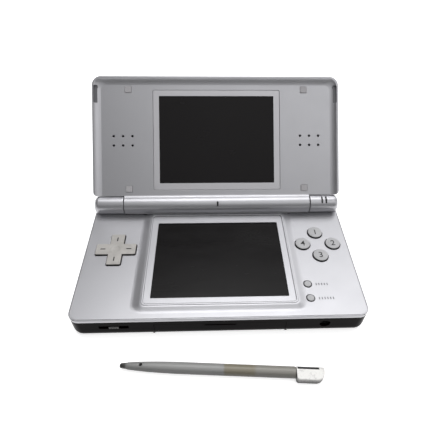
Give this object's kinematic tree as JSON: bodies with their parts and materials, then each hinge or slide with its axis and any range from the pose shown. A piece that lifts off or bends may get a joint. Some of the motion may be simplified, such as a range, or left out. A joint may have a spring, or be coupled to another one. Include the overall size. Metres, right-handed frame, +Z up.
{
  "type": "clamshell handheld game console",
  "caption": "Clamshell handheld game console: a slab base with touch screen, direction pad and round keys, a hinged lid with its own screen, and a stylus lying in front.",
  "frame": {"origin": "centre of the base's underside, which is flat", "axes": "+X to the player's right along the hinge, +Y from the player back to the hinge, +Z up"},
  "size_m": [0.1333, 0.145, 0.0677],
  "materials": {
    "silver": "silver paint under a clear gloss coat",
    "dark_case": "dark brown-black gloss",
    "keys": "grey satin",
    "pad_key": "warm grey satin",
    "screen": "black behind a clear film",
    "lens": "clear plate printed silver on its back round a dark window",
    "clear_lens": "milky clear, unlit",
    "board": "green board",
    "steel": "plain",
    "rubber": "soft grey",
    "black_plastic": "fine matt",
    "battery": "grey shrink wrap",
    "stylus": "grey-beige satin, darker at the tip",
    "stylus_cap": "worn white",
    "flex": "amber film"
  },
  "bodies": {
    "base": {"lower_case": "dark_case", "control_panel": "silver", "power_indicator_lens": "clear_lens", "charge_indicator_lens": "clear_lens", "touch_panel": "screen", "lower_display": "black_plastic", "direction_pad_membrane": "rubber", "face_button_membrane": "rubber", "small_button_membrane": "rubber", "main_board": "board", "wireless_module": "steel", "battery": "battery", "battery_cover": "dark_case", "battery_cover_screw": "steel", "cartridge_connector": "black_plastic", "card_socket": "steel", "stylus_channel": "black_plastic", "headphone_jack": "black_plastic", "charge_socket": "steel", "left_shoulder_pin": "steel", "right_shoulder_pin": "steel", "left_shoulder_spring": "steel", "right_shoulder_spring": "steel", "case_screw_front_left": "steel", "case_screw_front_right": "steel", "case_screw_rear_left": "steel", "case_screw_rear_right": "steel", "hinge_shaft": "steel", "hinge_sleeve": "steel"},
    "lid": {"lid_shell": "silver", "lid_frame": "silver", "upper_screen_lens": "lens", "upper_display": "black_plastic", "left_speaker": "black_plastic", "right_speaker": "black_plastic", "lower_left_bumper": "rubber", "upper_left_bumper": "rubber", "lower_right_bumper": "rubber", "upper_right_bumper": "rubber", "microphone": "steel", "hinge_clutch": "steel", "display_flex_roll": "flex"},
    "dpad_gimbal": {"direction_pad_pivot": "black_plastic"},
    "dpad": {"direction_pad": "pad_key"},
    "upper_key": {"face_button_upper": "keys"},
    "right_key": {"face_button_right": "keys"},
    "lower_key": {"face_button_lower": "keys"},
    "left_key": {"face_button_left": "keys"},
    "start_key": {"start_button": "keys"},
    "select_key": {"select_button": "keys"},
    "left_shoulder": {"left_shoulder_button": "silver"},
    "right_shoulder": {"right_shoulder_button": "silver"},
    "power_switch": {"power_slider": "keys"},
    "volume_control": {"volume_slider": "keys"},
    "slot_blank": {"slot_cover": "dark_case"},
    "stylus": {"stylus_shaft": "stylus", "stylus_cap": "stylus_cap"}
  },
  "joints": [
    {"name": "lid_hinge", "type": "hinge", "parent": "base", "child": "lid", "pos_m": [0, 0.03195, 0.01655], "axis": [1, 0, 0], "range_deg": [-30, 135]},
    {"name": "dpad_tilt_front_rear", "type": "hinge", "parent": "base", "child": "dpad_gimbal", "pos_m": [-0.0513, 0.00315, 0.0103], "axis": [1, 0, 0], "range_deg": [-2.5, 2.5], "stiffness_Nm_per_rad": 0.03},
    {"name": "dpad_tilt_left_right", "type": "hinge", "parent": "dpad_gimbal", "child": "dpad", "pos_m": [-0.0513, 0.00315, 0.0103], "axis": [0, 1, 0], "range_deg": [-2.5, 2.5], "stiffness_Nm_per_rad": 0.03},
    {"name": "upper_key_press", "type": "slide", "parent": "base", "child": "upper_key", "axis": [0, 0, -1], "range_m": [0, 0.0005], "stiffness_N_per_m": 200, "springref_m": -0.0005},
    {"name": "right_key_press", "type": "slide", "parent": "base", "child": "right_key", "axis": [0, 0, -1], "range_m": [0, 0.0005], "stiffness_N_per_m": 200, "springref_m": -0.0005},
    {"name": "lower_key_press", "type": "slide", "parent": "base", "child": "lower_key", "axis": [0, 0, -1], "range_m": [0, 0.0005], "stiffness_N_per_m": 200, "springref_m": -0.0005},
    {"name": "left_key_press", "type": "slide", "parent": "base", "child": "left_key", "axis": [0, 0, -1], "range_m": [0, 0.0005], "stiffness_N_per_m": 200, "springref_m": -0.0005},
    {"name": "start_key_press", "type": "slide", "parent": "base", "child": "start_key", "axis": [0, 0, -1], "range_m": [0, 0.0004], "stiffness_N_per_m": 200, "springref_m": -0.0005},
    {"name": "select_key_press", "type": "slide", "parent": "base", "child": "select_key", "axis": [0, 0, -1], "range_m": [0, 0.0004], "stiffness_N_per_m": 200, "springref_m": -0.0005},
    {"name": "left_shoulder_press", "type": "hinge", "parent": "base", "child": "left_shoulder", "pos_m": [-0.0532, 0.03275, 0.0065], "axis": [0, 0, 1], "range_deg": [0, 3], "stiffness_Nm_per_rad": 0.05, "springref_deg": -2.86},
    {"name": "right_shoulder_press", "type": "hinge", "parent": "base", "child": "right_shoulder", "pos_m": [0.0532, 0.03275, 0.0065], "axis": [0, 0, 1], "range_deg": [-3, 0], "stiffness_Nm_per_rad": 0.05, "springref_deg": 2.86},
    {"name": "power_slide", "type": "slide", "parent": "base", "child": "power_switch", "axis": [0, 1, 0], "range_m": [0, 0.0025], "stiffness_N_per_m": 100, "springref_m": -0.0005},
    {"name": "volume_slide", "type": "slide", "parent": "base", "child": "volume_control", "axis": [1, 0, 0], "range_m": [-0.004, 0.004]},
    {"name": "slot_cover_pull", "type": "slide", "parent": "base", "child": "slot_blank", "axis": [0, -1, 0], "range_m": [0, 0.0125]},
    {"name": "stylus_lift", "type": "slide", "parent": "base", "child": "stylus", "axis": [0, 0, 1], "range_m": [0, 0.03]}
  ]
}
